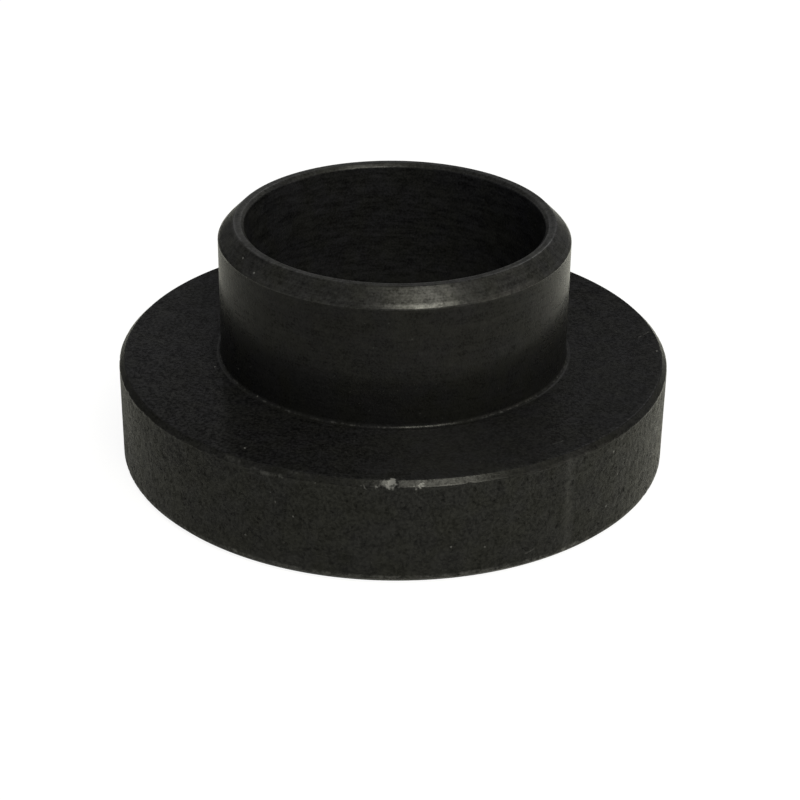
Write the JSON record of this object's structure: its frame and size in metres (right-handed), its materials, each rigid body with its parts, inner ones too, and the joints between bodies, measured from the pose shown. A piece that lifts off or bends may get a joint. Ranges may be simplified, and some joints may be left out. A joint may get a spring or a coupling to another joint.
{
  "type": "step washer",
  "caption": "Thick flanged washer with a raised hub and a through bore, turned in one piece from blackened steel.",
  "frame": {"origin": "centre of the flange's flat underside, on the axis of the bore", "axes": "+Z along the bore axis, from the flange's underside up to the end of the hub; X and Y are free, because the part is round"},
  "size_m": [0.0508, 0.0508, 0.0227],
  "materials": {
    "blackened_steel": "black oxide over turned steel, semi-matt, with a rougher mill surface left on the rim"
  },
  "bodies": {
    "root": {"step_washer": "blackened_steel"}
  },
  "joints": []
}
